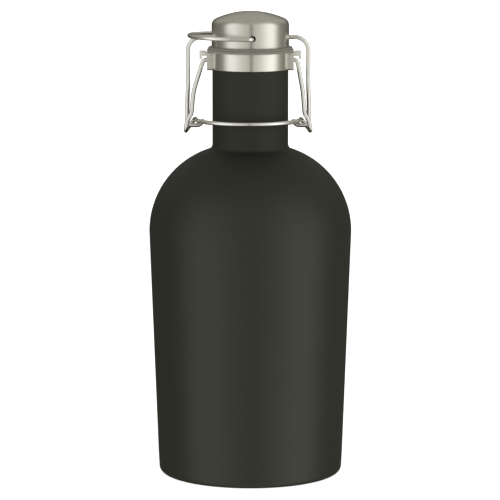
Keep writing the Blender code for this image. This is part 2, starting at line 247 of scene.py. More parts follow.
edge_r = BASE_R - BASE_EDGE
foot = arc((edge_r, BASE_EDGE), BASE_EDGE, -90, 0, 12)
foot_inside = arc((edge_r, BASE_EDGE), BASE_EDGE - WALL, -90, 0, 6)
outside = shell_side(0.0, NECK_R, FOOT_TOP_Z, MOUTH_Z - GAP, foot)
inside = shell_side(WALL, NECK_R - WALL, FOOT_TOP_Z, MOUTH_Z - GAP, foot_inside)
coat = powder_coat("charcoal_powder_coat")
fit("shell_coated", turned_mesh("shell_coated", outside + inside[::-1]), coat, "bottle", "powder_coat",
    "outer_shell")


# --- Outer base ----------------------------------------------------------------------------
# A stainless pan pressed from sheet and welded inside the foot, where it closes the outer wall.
# The dimple in its middle holds the pump-out hole. It is left bare, with a fine spun grain.

PAN_Z = 5.0                   # height of the pan's plate above the rest face
PAN_TOP_Z = 16.0
DIMPLE_RISE = 3.0
STEEL_COLOUR = (0.640, 0.632, 0.570)
STEEL_ROUGHNESS = 0.30
STEEL_ANISOTROPY = 0.75


def steel_finish(name, roughness=STEEL_ROUGHNESS, colour=STEEL_COLOUR, streak=0.22 * MM, depth=0.2,
                 anisotropy=STEEL_ANISOTROPY):
    """Stainless brushed round the piece's axis: fine rings that catch the light."""
    made, tree, shader = new_finish(name, colour, roughness, 1.0)
    at = place_on_piece(tree)
    apart = add_node(tree, "ShaderNodeSeparateXYZ", Vector=at)
    flat = add_node(tree, "ShaderNodeCombineXYZ", X=apart.outputs["X"], Y=apart.outputs["Y"])
    reach = add_node(tree, "ShaderNodeVectorMath", [("operation", "LENGTH")], i0=flat.outputs[0])
    spoke = add_node(tree, "ShaderNodeVectorMath", [("operation", "NORMALIZE")], i0=flat.outputs[0])
    climb = sums(tree, "SUBTRACT", apart.outputs["Z"], reach.outputs["Value"])
    turn = add_node(tree, "ShaderNodeSeparateXYZ", Vector=spoke.outputs[0])
    ring = add_node(tree, "ShaderNodeCombineXYZ", X=sums(tree, "MULTIPLY", turn.outputs["X"], 1.6),
                    Y=sums(tree, "MULTIPLY", turn.outputs["Y"], 1.6),
                    Z=sums(tree, "DIVIDE", climb, streak))
    broad = add_node(tree, "ShaderNodeCombineXYZ", X=turn.outputs["X"], Y=turn.outputs["Y"],
                     Z=sums(tree, "DIVIDE", climb, streak * 5.0))
    fine_lines = speckle(tree, ring.outputs[0], 1.0, 3.0, 0.6)
    wide_lines = speckle(tree, broad.outputs[0], 1.0, 2.0)
    lines = sums(tree, "MULTIPLY_ADD", fine_lines, 0.75, sums(tree, "MULTIPLY", wide_lines, 0.25))
    tint(tree, shader, lines, colour, 0.97, 1.02)
    dull(tree, shader, lines, roughness, 0.03, 0.03)
    relief(tree, shader, lines, 0.004 * MM, depth)
    if anisotropy > 0.0:
        shader.inputs["Anisotropic"].default_value = anisotropy
        grain = add_node(tree, "ShaderNodeTangent", [("direction_type", "RADIAL"), ("axis", "Z")])
        tree.links.new(grain.outputs[0], shader.inputs["Tangent"])
        shader.inputs["Anisotropic Rotation"].default_value = 0.25
    return made


rim_r = wall_radius(9.0) - WALL - GAP - 0.6
dimple_z = PAN_Z + DIMPLE_RISE
pan_low = ([(0.0, dimple_z), (3.0, dimple_z)] + arc((5.0, PAN_Z + 1.0), 1.0, 215, 270, 4)
           + arc((rim_r - 2.0, PAN_Z + 2.0), 2.0, -90, 0, 8) + [(rim_r, PAN_TOP_Z)])
pan_high = ([(rim_r - WALL, PAN_TOP_Z)] + arc((rim_r - 2.0, PAN_Z + 2.0), 2.0 - WALL, 0, -90, 6)
            + arc((5.4, PAN_Z + WALL + 0.6), 0.6, 270, 225, 4)
            + [(3.4, dimple_z + WALL), (0.0, dimple_z + WALL)])
fit("base_pan", turned_mesh("base_pan", pan_low + pan_high), steel_finish("spun_base_steel"), "bottle",
    "brushed_steel", "outer_base")


# --- Base cover ----------------------------------------------------------------------------
# A thin stainless disc glued over the pan. It hides the sealed pump-out hole and carries the
# bottle on a flat face with a turned edge.

COVER_R = BASE_R - BASE_EDGE - 2.0
COVER_THICK = 1.6
cover = ([(0.0, 0.0), (COVER_R - 1.0, 0.0)] + arc((COVER_R - 1.0, 1.0), 1.0, -90, 0, 8)
         + [(COVER_R, PAN_Z - GAP), (COVER_R - 2.0, PAN_Z - GAP), (COVER_R - 2.0, COVER_THICK),
            (0.0, COVER_THICK)])
fit("base_disc", turned_mesh("base_disc", cover), steel_finish("base_disc_steel", 0.26), "bottle",
    "brushed_steel", "base_cover")


# --- Vacuum seal ---------------------------------------------------------------------------
# A bead of solder in the pan's dimple. It melts in the vacuum oven and shuts the pump-out hole.

SEAL_COLOUR = (0.45, 0.45, 0.44)


def cast_finish(name, colour, roughness, metallic, size, depth):
    """A dull poured or pressed surface: uneven colour and a fine pitted skin."""
    made, tree, shader = new_finish(name, colour, roughness, metallic)
    at = place_on_piece(tree)
    pits = speckle(tree, at, size, 4.0, 0.6)
    tint(tree, shader, pits, colour, 0.8, 1.15)
    dull(tree, shader, pits, roughness, 0.08, 0.08)
    relief(tree, shader, pits, depth, 0.5)
    return made


seal_top = dimple_z - GAP
bead = ([(0.0, seal_top - 1.5)] + [(1.4 * sin(radians(a)), seal_top - 1.2 - 0.3 * cos(radians(a)))
                                   for a in (30, 60, 90)]
        + [(2.0, seal_top - 0.75), (2.25, seal_top - 0.3), (2.3, seal_top), (0.0, seal_top)])
fit("seal_bead", turned_mesh("seal_bead", bead, 48),
    cast_finish("seal_solder", SEAL_COLOUR, 0.42, 1.0, 0.5 * MM, 0.04 * MM), "bottle", "solder",
    "vacuum_seal")


# --- Inner flask ---------------------------------------------------------------------------
# The inner wall, one stainless cup with its neck. Its rim is turned out over the outer shell's
# and welded there, then polished smooth, because people drink and pour over it.

VACUUM_GAP = 2.9
MOUTH_R = 20.5
FLASK_LOW_Z = 30.0
RIM_R = NECK_R - WALL - GAP
RIM_EASE = 0.35

flask_inset = WALL + VACUUM_GAP
flask_out = shell_side(flask_inset, MOUTH_R + WALL, FLASK_LOW_Z, MOUTH_Z - 1.6, [])
rim = ([(RIM_R, MOUTH_Z - 1.0), (RIM_R, MOUTH_Z - RIM_EASE)]
       + arc((RIM_R - RIM_EASE, MOUTH_Z - RIM_EASE), RIM_EASE, 15, 90, 5))
lip = arc((MOUTH_R + 0.5, MOUTH_Z - 0.5), 0.5, 90, 165, 6)
flask_in = shell_side(flask_inset + WALL, MOUTH_R, FLASK_LOW_Z, MOUTH_Z - 0.5, [])
flask = (flask_out + arc((MOUTH_R + WALL + 0.6, MOUTH_Z - 1.6), 0.6, 170, 90, 5) + rim + lip
         + flask_in[::-1])
flask_steel = steel_finish("flask_steel", 0.34, darker(STEEL_COLOUR, 0.94), 0.5 * MM, 0.3)
fit("flask_wall", turned_mesh("flask_wall", flask), flask_steel, "bottle", "brushed_steel", "inner_flask")


# --- Inner base ----------------------------------------------------------------------------
# The floor of the inner wall: a stainless cup with a shallow dome pressed in it, so that it
# drains to its edge, welded into the flask's foot.

FLOOR_Z = 20.0
FLOOR_RISE = 2.0
FLOOR_EDGE = 8.0
CUP_TOP_Z = 40.0
cup_r = wall_radius(FLASK_LOW_Z) - 2 * WALL - VACUUM_GAP - GAP - 0.4
flat_r = cup_r - FLOOR_EDGE


def cup_floor(lift):
    """The floor's shallow dome from the axis to the start of its rounded edge."""
    return [(flat_r * i / 16, FLOOR_Z + lift + FLOOR_RISE * (0.5 + 0.5 * cos(pi * i / 16)))
            for i in range(16)]


cup_edge = (flat_r, FLOOR_Z + FLOOR_EDGE)
cup = (cup_floor(0.0) + arc(cup_edge, FLOOR_EDGE, -90, 0, 14)
       + [(cup_r, CUP_TOP_Z), (cup_r - WALL, CUP_TOP_Z)]
       + arc(cup_edge, FLOOR_EDGE - WALL, 0, -90, 14) + cup_floor(WALL)[::-1])
fit("flask_floor", turned_mesh("flask_floor", cup, 120), steel_finish("flask_floor_steel", 0.34),
    "bottle", "brushed_steel", "inner_base")


# --- Getter pellet -------------------------------------------------------------------------
# A pressed pellet of gas-absorbing powder in a small dish, spot welded under the inner floor.
# It keeps the vacuum between the walls good for years.

GETTER_COLOUR = (0.20, 0.20, 0.21)
PELLET_R = 5.0
PELLET_LOW_Z = 17.2
PELLET_TOP_Z = 20.2
pellet = ([(0.0, PELLET_LOW_Z), (PELLET_R - 0.4, PELLET_LOW_Z)]
          + arc((PELLET_R - 0.4, PELLET_LOW_Z + 0.4), 0.4, -90, 0, 5)
          + [(PELLET_R, PELLET_TOP_Z - 0.6), (PELLET_R - 0.3, PELLET_TOP_Z - 0.4),
             (PELLET_R - 0.3, PELLET_TOP_Z), (0.0, PELLET_TOP_Z)])
fit("getter_dish", turned_mesh("getter_dish", pellet, 48),
    cast_finish("getter_alloy", GETTER_COLOUR, 0.68, 0.5, 0.25 * MM, 0.03 * MM), "bottle", "getter",
    "getter_pellet")


# --- Neck collar ---------------------------------------------------------------------------
# A stainless band pressed over the top of the neck. It is brushed round on a lathe, its edges
# eased, and it covers the bare metal where the coating stops.

COLLAR_R = 24.7
COLLAR_LOW_Z = 255.0
COLLAR_EASE = 0.2
COLLAR_TOP_Z = MOUTH_Z + GAP - 0.02

collar_in = NECK_R + GAP
band = ([(collar_in, COLLAR_LOW_Z)]
        + arc((COLLAR_R - 0.4, COLLAR_LOW_Z + 0.4), 0.4, -90, 0, 6)
        + [(COLLAR_R, COLLAR_TOP_Z - 1.5)]
        + arc((COLLAR_R - COLLAR_EASE, COLLAR_TOP_Z - COLLAR_EASE), COLLAR_EASE, 0, 90, 8)
        + [(collar_in, COLLAR_TOP_Z)])
collar_steel = steel_finish("collar_steel", 0.27, darker(STEEL_COLOUR, 1.18), 0.2 * MM, 0.2)
fit("collar_band", turned_mesh("collar_band", band), collar_steel, "bottle", "brushed_steel",
    "neck_collar")


# --- Pivot lugs ----------------------------------------------------------------------------
# Two stainless pads welded to the collar, left and right. Each has the hole that the lever's pin
# turns in, and above it a short keeper with a lip that stops the pin from walking out.

LUG_ROOT_X = 22.0
LUG_FACE_X = 27.0
LUG_HALF_Y = 8.7
LUG_LOW_Z = 254.6
LUG_ROUND = 1.9               # rounding of the pad's lower corners
LUG_SOFT = 0.3
# The keepers' near-white colour is a painted highlight, not a real tone of the steel.
KEEPER_HIGHLIGHT_COLOUR = (0.96, 0.95, 0.90)
KEEPER_X = 31.8
KEEPER_STEP_X = 27.5          # outside the gasket the keeper stands a little higher
KEEPER_TOP_Z = 266.2
KEEPER_Y = 3.5
KEEPER_LOW_Z = 262.9
LIP_LOW_Z = 261.0
LIP_WIDTH = 1.6
HOLE_R = 1.75
LEVER_PIVOT = (0.0, 260.8)    # y, z of each pivot axis that runs along X
SMALL_STEPS = 40              # facets round a hole


def block(name, low, high, soft=0.0, corner=0.0, corner_edges=None):
    """A solid block with its edges eased; chosen edges may have a larger rounding first."""
    mesh = bpy.data.meshes.new(name)
    form = bmesh.new()
    bmesh.ops.create_cube(form, size=1.0)
    bmesh.ops.scale(form, vec=[(b - a) * MM for a, b in zip(low, high)], verts=form.verts)
    bmesh.ops.translate(form, vec=[(a + b) / 2 * MM for a, b in zip(low, high)], verts=form.verts)
    if corner_edges:
        chosen = [e for e in form.edges if corner_edges(e)]
        bmesh.ops.bevel(form, geom=chosen, offset=corner * MM, segments=8, profile=0.5, affect="EDGES")
    if soft:
        creased = [e for e in form.edges if e.calc_face_angle(0.0) > radians(25)]
        bmesh.ops.bevel(form, geom=creased, offset=soft * MM, segments=4, profile=0.5, affect="EDGES")
    form.to_mesh(mesh)
    form.free()
    piece = bpy.data.objects.new(name, mesh)
    bpy.context.collection.objects.link(piece)
    return piece


def rod(name, start, end, radius, flare=0.0):
    """A round cutter between two points, opened out at both ends by a flare."""
    start, end = Vector(start), Vector(end)
    along = (end - start).normalized()
    side = along.orthogonal().normalized()
    other = along.cross(side)
    length = (end - start).length
    rings = [(0.0, radius), (length, radius)]
    if flare:
        rings = [(0.0, radius + flare), (flare, radius), (length - flare, radius), (length, radius + flare)]
    corners, faces = [], []
    for reach, wide in rings:
        for i in range(SMALL_STEPS):
            turn = 2 * pi * i / SMALL_STEPS
            corners.append(start + along * reach + (side * cos(turn) + other * sin(turn)) * wide)
    for k in range(len(rings) - 1):
        for i in range(SMALL_STEPS):
            j = (i + 1) % SMALL_STEPS
            faces.append([k * SMALL_STEPS + i, k * SMALL_STEPS + j, (k + 1) * SMALL_STEPS + j,
                          (k + 1) * SMALL_STEPS + i])
    faces.append(list(range(SMALL_STEPS)))
    faces.append([(len(rings) - 1) * SMALL_STEPS + i for i in range(SMALL_STEPS)])
    piece = bpy.data.objects.new(name, mesh_from(name, corners, faces))
    bpy.context.collection.objects.link(piece)
    return piece


def worked(piece, *steps):
    """Join or cut a blank with other blanks and return the finished mesh; the blanks are removed."""
    for operation, tool in steps:
        cut = piece.modifiers.new(tool.name, "BOOLEAN")
        cut.operation = operation
        cut.solver = "EXACT"
        cut.object = tool
    bpy.context.view_layer.update()
    evaluated = piece.evaluated_get(bpy.context.evaluated_depsgraph_get())
    mesh = bpy.data.meshes.new_from_object(evaluated)
    mesh.name = piece.name + "_worked"
    for spent in [piece] + [tool for _, tool in steps]:
        bpy.data.objects.remove(spent)
    mesh.materials.clear()
    mesh.shade_smooth()
    mesh.set_sharp_from_angle(angle=radians(28))
    return mesh


def lug_mesh(side):
    """One lug: the pad with its lower corners rounded, the keeper with its lip, and the pin's hole."""

    def lower_corner(edge):
        ends = [v.co for v in edge.verts]
        across = abs(ends[0].x - ends[1].x) > 1e-4
        return across and all(c.z < (LUG_LOW_Z + 1.0) * MM for c in ends)

    def bar(name, inner_x, outer_x, low_yz, high_yz, *easing):
        xs = sorted((side * inner_x, side * outer_x))
        return block(name, (xs[0], *low_yz), (xs[1], *high_yz), *easing)

    pad = bar("pad", LUG_ROOT_X, LUG_FACE_X, (-LUG_HALF_Y, LUG_LOW_Z), (LUG_HALF_Y, COLLAR_TOP_Z),
              LUG_SOFT, LUG_ROUND, lower_corner)
    keeper = bar("keeper", LUG_FACE_X - 1.5, KEEPER_X, (0.0, KEEPER_LOW_Z), (KEEPER_Y, MOUTH_Z - 0.2), 0.3)
    step = bar("keeper_step", KEEPER_STEP_X, KEEPER_X, (0.0, MOUTH_Z - 0.7), (KEEPER_Y, KEEPER_TOP_Z), 0.25)
    lip_bar = bar("keeper_lip", KEEPER_X - LIP_WIDTH, KEEPER_X, (0.0, LIP_LOW_Z),
                  (KEEPER_Y, KEEPER_LOW_Z + 0.5), 0.2)
    round_neck = rod("round_neck", (0, 0, LUG_LOW_Z - 5), (0, 0, MOUTH_Z + 5), COLLAR_R + 0.02)
    y, z = LEVER_PIVOT
    hole = rod("pin_hole", (side * 20.0, y, z), (side * (LUG_FACE_X + 0.1), y, z), HOLE_R, 0.25)
    return worked(pad, ("UNION", keeper), ("UNION", step), ("UNION", lip_bar),
                  ("DIFFERENCE", round_neck), ("DIFFERENCE", hole))


def satin_finish(name, roughness, colour, size=0.3 * MM):
    """Stainless tumbled to an even satin: no grain direction, a little unevenness."""
    made, tree, shader = new_finish(name, colour, roughness, 1.0)
    at = place_on_piece(tree)
    grain = speckle(tree, at, size, 3.0, 0.6)
    cloud = speckle(tree, at, 3.0 * MM, 2.0)
    tint(tree, shader, cloud, colour, 0.90, 1.06)
    dull(tree, shader, grain, roughness, 0.05, 0.07)
    relief(tree, shader, grain, 0.01 * MM, 0.3)
    return made


def lug_finish(name):
    """Satin pads, with the keepers coloured near white: a painted highlight."""
    made = satin_finish(name, 0.36, STEEL_COLOUR)
    tree = made.node_tree
    colour = tree.nodes["Principled BSDF"].inputs["Base Color"]
    across = add_node(tree, "ShaderNodeSeparateXYZ", Vector=place_on_piece(tree)).outputs["X"]
    # Past the pad's face the keepers turn near white: a painted highlight.
    keeper_highlight = add_node(tree, "ShaderNodeMapRange", i0=sums(tree, "ABSOLUTE", across), i1=LUG_FACE_X * MM,
                      i2=(LUG_FACE_X + 0.6) * MM)
    two_tints = add_node(tree, "ShaderNodeMix", [("data_type", "RGBA")], i0=keeper_highlight.outputs[0],
                         i6=colour.links[0].from_socket, i7=(*KEEPER_HIGHLIGHT_COLOUR, 1.0))
    tree.links.new(two_tints.outputs[2], colour)
    return made


lug_steel = lug_finish("lug_steel")
fit("left_lug", lug_mesh(-1), lug_steel, "bottle", "brushed_steel", "left_pivot_lug")
fit("right_lug", lug_mesh(1), lug_steel, "bottle", "brushed_steel", "right_pivot_lug")


# --- Lid cap -------------------------------------------------------------------------------
# The domed cap is deep drawn from stainless sheet and brushed round on a lathe. Two holes at its
# sides let the bail through, and one in front and one behind hold the carry loop's ends.

LID_R = 24.15
LID_WALL = 0.8
LID_LOW_Z = 268.82
LID_TOP_Z = 291.1
DOME_ARC = 52.0
DOME_EDGE = 4.5
LID_PIVOT = (0.0, 274.8)
LOOP_PIVOT = (1.2, 275.0)     # x, z of the carry loop's axis, which runs along Y
HOLE_EASE = 0.22
CAP_HOLE_R = HOLE_R + 0.15
CAP_EDGE = 0.12               # rounding of the cap's lower edge
LOOP_SAG = (0.3, 0.25)        # x, z that the loop's ends hang off the middle of their holes


def dome_side(radius, top_z, low_z, edge):
    """Lid outline from the apex down to the lower edge: dome, rounded corner, straight wall."""
    sphere = DOME_ARC - (LID_R - radius)
    centre_z = top_z - sphere
    corner_r = radius - edge
    lean = atan2(sqrt((sphere - edge) ** 2 - corner_r ** 2), corner_r) * 180 / pi
    corner_z = centre_z + sqrt((sphere - edge) ** 2 - corner_r ** 2)
    side = [(0.0, top_z)] + arc((0.0, centre_z), sphere, 90, lean, 22)[1:]
    side += arc((corner_r, corner_z), edge, lean, 0, 14)[1:]
    side.append((radius, low_z))
    return side


cap_out = dome_side(LID_R, LID_TOP_Z, LID_LOW_Z + CAP_EDGE, DOME_EDGE)
cap_in = dome_side(LID_R - LID_WALL, LID_TOP_Z - LID_WALL, LID_LOW_Z + 0.1, DOME_EDGE - LID_WALL)
cap_edge = arc((LID_R - CAP_EDGE, LID_LOW_Z + CAP_EDGE), CAP_EDGE, -20, -90, 4)
cap_edge.append((LID_R - LID_WALL + 0.1, LID_LOW_Z))
blank = bpy.data.objects.new("cap_blank", turned_mesh("cap_blank", cap_out + cap_edge + cap_in[::-1]))
bpy.context.collection.objects.link(blank)
y, z = LID_PIVOT
x, loop_z = LOOP_PIVOT
reach = LID_R + HOLE_EASE
bail_holes = rod("bail_holes", (-reach, y, z), (reach, y, z), CAP_HOLE_R, HOLE_EASE * 2)
hole_x, hole_z = x + LOOP_SAG[0], loop_z + LOOP_SAG[1]
loop_holes = rod("loop_holes", (hole_x, -reach, hole_z), (hole_x, reach, hole_z), CAP_HOLE_R, HOLE_EASE * 2)
cap = worked(blank, ("DIFFERENCE", bail_holes), ("DIFFERENCE", loop_holes))
cap_steel = steel_finish("cap_steel", 0.27, darker(STEEL_COLOUR, 1.1), 0.22 * MM, 0.2)
fit("cap_dome", cap, cap_steel, "lid", "brushed_steel", "lid_cap")


# --- Lid foam ------------------------------------------------------------------------------
# Insulating foam poured into the dome, where it sets against the steel.

FOAM_COLOUR = (0.80, 0.74, 0.56)
inset = LID_WALL + GAP
foam_low = LID_PIVOT[1] + 3.2
foam_side = dome_side(LID_R - inset, LID_TOP_Z - inset, foam_low, DOME_EDGE - inset)
fit("dome_foam", turned_mesh("dome_foam", foam_side + [(0.0, foam_low)], 96),
    cast_finish("foam", FOAM_COLOUR, 0.9, 0.0, 0.6 * MM, 0.12 * MM), "lid", "foam", "lid_foam")


# --- Lid plug ------------------------------------------------------------------------------
# A black plastic plug, injection moulded. Its flange snaps into the cap, its neck carries the
# gasket, and its rounded nose guides the lid into the mouth.

PLUG_NECK_R = 17.3
PLUG_LIP_R = 18.0
PLUG_NOSE_R = 15.0
PLUG_NOSE_Z = 260.9
PLUG_FLANGE_TOP_Z = 271.6
GASKET_Z = (265.75, 267.4, 268.8)
PLUG_COLOUR = (0.030, 0.030, 0.031)


def plastic_finish(name, colour, roughness, size):
    """Moulded plastic with the faint even texture of a spark-eroded mould."""
    made, tree, shader = new_finish(name, colour, roughness, 0.0)
    at = place_on_piece(tree)
    grain = speckle(tree, at, size, 2.0)
    flow = speckle(tree, at, 6.0 * MM, 2.0)
    tint(tree, shader, flow, colour, 0.9, 1.15)
    dull(tree, shader, grain, roughness, 0.05, 0.06)
    relief(tree, shader, grain, 0.02 * MM, 0.35)
    return made


flange_r = LID_R - LID_WALL - GAP
gasket_low, gasket_step, gasket_high = GASKET_Z
flange_low = gasket_high + 0.05
plug = ([(0.0, PLUG_NOSE_Z - 0.5), (8.0, PLUG_NOSE_Z - 0.35)]
        + arc((PLUG_NOSE_R - 2.0, PLUG_NOSE_Z + 2.0), 2.0, -80, 0, 10)
        + [(PLUG_NOSE_R + 0.6, gasket_low - GAP - 1.6)]
        + [(PLUG_LIP_R, gasket_low - GAP - 0.9), (PLUG_LIP_R, gasket_low - GAP),
           (PLUG_NECK_R, gasket_low - GAP), (PLUG_NECK_R, flange_low),
           (flange_r, flange_low), (flange_r, PLUG_FLANGE_TOP_Z), (0.0, PLUG_FLANGE_TOP_Z)])
fit("plug_moulding", turned_mesh("plug_moulding", plug, 120),
    plastic_finish("plug_plastic", PLUG_COLOUR, 0.42, 0.3 * MM), "lid", "plug_plastic", "lid_plug")


# --- Gasket --------------------------------------------------------------------------------
# A stepped ring of grey silicone, moulded and pushed over the plug's neck. Its wide lower band
# seals on the rim and its narrower upper band fills the gap under the cap.

GASKET_R = 27.1
GASKET_STEP_R = 26.35
GASKET_HOLE_R = 17.6
GASKET_COLOUR = (0.160, 0.155, 0.122)


def silicone_finish(name, colour, roughness):
    """Silicone: a soft satin skin with a little dust on it."""
    made, tree, shader = new_finish(name, colour, roughness, 0.0)
    shader.inputs["Sheen Weight"].default_value = 0.12
    shader.inputs["Sheen Roughness"].default_value = 0.45
    at = place_on_piece(tree)
    skin = speckle(tree, at, 0.35 * MM, 3.0)
    cloud = speckle(tree, at, 5.0 * MM, 2.0)
    tint(tree, shader, cloud, colour, 0.88, 1.12)
    dull(tree, shader, skin, roughness, 0.06, 0.08)
    relief(tree, shader, skin, 0.02 * MM, 0.3)
    return made


ring = ([(GASKET_HOLE_R, gasket_low)]
        + arc((GASKET_R - 0.45, gasket_low + 0.45), 0.45, -90, 0, 6)
        + arc((GASKET_R - 0.4, gasket_step - 0.4), 0.4, 0, 80, 5)
        + [(GASKET_STEP_R + 0.12, gasket_step)] + [(GASKET_STEP_R, gasket_step + 0.12)]
        + arc((GASKET_STEP_R - 0.5, gasket_high - 0.5), 0.5, 0, 90, 6) + [(GASKET_HOLE_R, gasket_high)])
grey_silicone = silicone_finish("grey_silicone", GASKET_COLOUR, 0.5)
fit("gasket_ring", turned_mesh("gasket_ring", ring), grey_silicone, "lid", "grey_silicone", "lid_gasket")


# --- Bail tube -----------------------------------------------------------------------------
# A thin steel tube across the cap. The bail's top run lies in it and turns in it as the lid lifts.

BAIL_TUBE_R = 2.6
tube_reach = LID_R - LID_WALL - GAP
tube = worked(rod("tube_blank", (-tube_reach, y, z), (tube_reach, y, z), BAIL_TUBE_R),
              ("DIFFERENCE", rod("tube_bore", (-30, y, z), (30, y, z), HOLE_R)))
tube_steel = satin_finish("tube_steel", 0.34, STEEL_COLOUR)
fit("bail_sleeve", tube, tube_steel, "lid", "brushed_steel", "bail_tube")


# --- Lever wire ----------------------------------------------------------------------------
# One piece of hard-drawn stainless wire. Its pins turn in the lugs, its arms run down to an eye
# on each side that holds the bail's hook, and the eyes run on into the round thumb bar in front.

WIRE_R = 1.35
WIRE_SIDES = 24
WIRE_STEP = 1.6               # most that two rings of a wire lie apart
END_DOME = 0.55 * WIRE_R      # how far a wire's end is rounded
BEND_STEP = radians(5)
HOOK_PIVOT = (3.7, 221.2)
SLACK_X = -1.4                # play lets the closure hang to one side
PIN_TIP_X = 25.5              # where the lever's pins end in the lugs
ARM_TOP_X = 29.2
ARM_MID = (34.1, 241.0)       # x, z where each arm bends a little steeper
ARM_KNEE = (35.2, 227.4)      # x, z where each arm turns out to pass in front of the bail's leg
ARM_KICK = (38.2, 222.2)      # x, z where it turns down again
ARM_LOW_X = 39.0
EYE_FRONT_Y = -3.2            # front, back and foot of the lever's long eye round the hook
EYE_BACK_Y = 7.9
EYE_LOW_Z = 216.3
EYE_BACK_X = 38.4
EYE_BEND = 3.1
ROOT_X = 32.8                 # where the thumb bar starts, over the hook
ROOT_Z = 223.2
BAR_FRONT_Y = -27.8
BAR_Z = 222.9
BAR_TILT = 0.2                # how much lower the bar starts on the right
WIRE_COLOUR = (0.870, 0.865, 0.815)
WIRE_ROUGHNESS = 0.20


def rounded_path(corners, radii):
    """Straight runs between corners, with each inner corner turned on its bend radius."""
    corners = [Vector(c) for c in corners]
    points = [corners[0]]
    for before, corner, after, radius in zip(corners, corners[1:], corners[2:], radii):
        back = (before - corner).normalized()
        ahead = (after - corner).normalized()
        half = back.angle(ahead) / 2
        centre = corner + (back + ahead).normalized() * (radius / sin(half))
        first = corner + back * (radius / tan(half)) - centre
        last = corner + ahead * (radius / tan(half)) - centre
        turn = pi - 2 * half
        count = max(3, ceil(turn / BEND_STEP))
        for i in range(count + 1):
            part = turn * i / count
            points.append(centre + (first * sin(turn - part) + last * sin(part)) / sin(turn))
    points.append(corners[-1])
    return points


def wire_mesh(name, points):
    """A round wire along a list of points, its ends domed. Its run and round are kept for the grain."""
    points = [p for i, p in enumerate(points) if i == 0 or (p - points[i - 1]).length > 0.02]
    spaced = [points[0]]
    for point, following in zip(points, points[1:]):
        count = ceil((following - point).length / WIRE_STEP)
        spaced += [point.lerp(following, i / count) for i in range(1, count + 1)]
    points = spaced
    ways = [(b - a).normalized() for a, b in zip(points, points[1:])]
    headings = [ways[0]] + [(a + b).normalized() for a, b in zip(ways, ways[1:])] + [ways[-1]]
    first, last = points[0], points[-1]
    dome = [(END_DOME * (1 - cos(pi / 2 * k / 5)), WIRE_R * sin(pi / 2 * k / 5)) for k in range(1, 6)]
    stations = [(first + headings[0] * back, headings[0], wide) for back, wide in dome]
    stations += [(p, h, WIRE_R) for p, h in zip(points[1:-1], headings[1:-1])]
    stations += [(last - headings[-1] * back, headings[-1], wide) for back, wide in dome[::-1]]
    side = headings[0].orthogonal().normalized()
    corners, faces, runs, run = [points[0]], [], [(0.0, 1.0, 0.0)], 0.0
    for k, (at, heading, wide) in enumerate(stations):
        side = (side - heading * side.dot(heading)).normalized()
        other = heading.cross(side)
        run += (at - stations[k - 1][0]).length if k else 0.0
        for i in range(WIRE_SIDES):
            turn = 2 * pi * i / WIRE_SIDES
            corners.append(at + (side * cos(turn) + other * sin(turn)) * wide)
            runs.append((run, cos(turn), sin(turn)))
    for k in range(len(stations) - 1):
        row = 1 + k * WIRE_SIDES
        for i in range(WIRE_SIDES):
            j = (i + 1) % WIRE_SIDES
            faces.append([row + i, row + j, row + WIRE_SIDES + j, row + WIRE_SIDES + i])
    corners.append(points[-1])
    runs.append((run, 1.0, 0.0))
    row = 1 + (len(stations) - 1) * WIRE_SIDES
    faces += [[0, 1 + (i + 1) % WIRE_SIDES, 1 + i] for i in range(WIRE_SIDES)]
    faces += [[len(corners) - 1, row + i, row + (i + 1) % WIRE_SIDES] for i in range(WIRE_SIDES)]
    mesh = mesh_from(name, corners, faces, 60.0)
    kept = mesh.attributes.new("drawn", "FLOAT_VECTOR", "POINT")
    kept.data.foreach_set("vector", [value for row in runs for value in row])
    return mesh


def wire_finish(name):
    """Bright drawn wire: hair-fine die lines along it, and bands where the drawing left it duller."""
    made, tree, shader = new_finish(name, WIRE_COLOUR, WIRE_ROUGHNESS, 1.0)
    drawn = add_node(tree, "ShaderNodeAttribute", [("attribute_name", "drawn")]).outputs["Vector"]
    apart = add_node(tree, "ShaderNodeSeparateXYZ", Vector=drawn)
    run, along_y, along_z = (apart.outputs[axis] for axis in "XYZ")
    lines_at = add_node(tree, "ShaderNodeCombineXYZ", X=sums(tree, "MULTIPLY", run, 0.06),
                        Y=sums(tree, "MULTIPLY", along_y, 7.0), Z=sums(tree, "MULTIPLY", along_z, 7.0))
    bands_at = add_node(tree, "ShaderNodeCombineXYZ", X=sums(tree, "MULTIPLY", run, 0.22), Y=along_y,
                        Z=along_z)
    lines = speckle(tree, lines_at.outputs[0], 1.0, 3.0, 0.6)
    bands = speckle(tree, bands_at.outputs[0], 1.0, 3.0)
    tint(tree, shader, bands, WIRE_COLOUR, 0.94, 1.03)
    worn = sums(tree, "MULTIPLY_ADD", lines, 0.5, sums(tree, "MULTIPLY", bands, 0.5))
    dull(tree, shader, worn, WIRE_ROUGHNESS, 0.03, 0.05)
    relief(tree, shader, lines, 0.006 * MM, 0.3)
    return made


